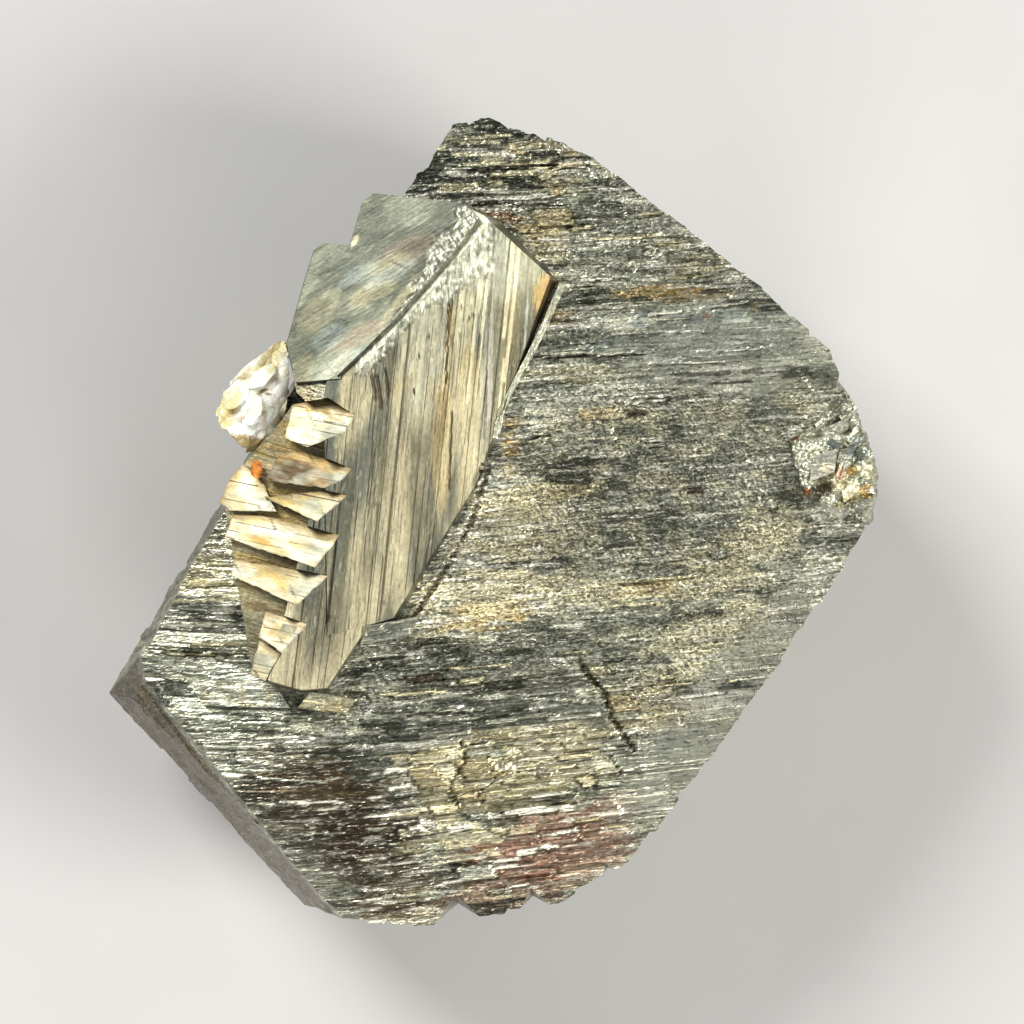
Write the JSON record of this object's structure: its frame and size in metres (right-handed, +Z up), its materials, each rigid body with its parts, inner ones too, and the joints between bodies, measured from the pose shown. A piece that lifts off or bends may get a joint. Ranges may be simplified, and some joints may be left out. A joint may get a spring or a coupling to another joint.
{
  "type": "arsenopyrite specimen",
  "caption": "Hand specimen of twinned arsenopyrite: a rhombic striated crystal with a twin grown through it, stepped lozenge plates and a small tuft of pale mica, lying on its back.",
  "frame": {"origin": "centre of the bounding box on the surface that the specimen lies on", "axes": "+Z up out of the striated front face, +Y to the upper end of the specimen, +X to its right-hand side"},
  "size_m": [0.0392, 0.0409, 0.0193],
  "materials": {
    "arsenopyrite": "satin",
    "mica": "satin"
  },
  "bodies": {
    "root": {"arsenopyrite_crystals": "arsenopyrite", "mica_tuft": "mica"}
  },
  "joints": []
}
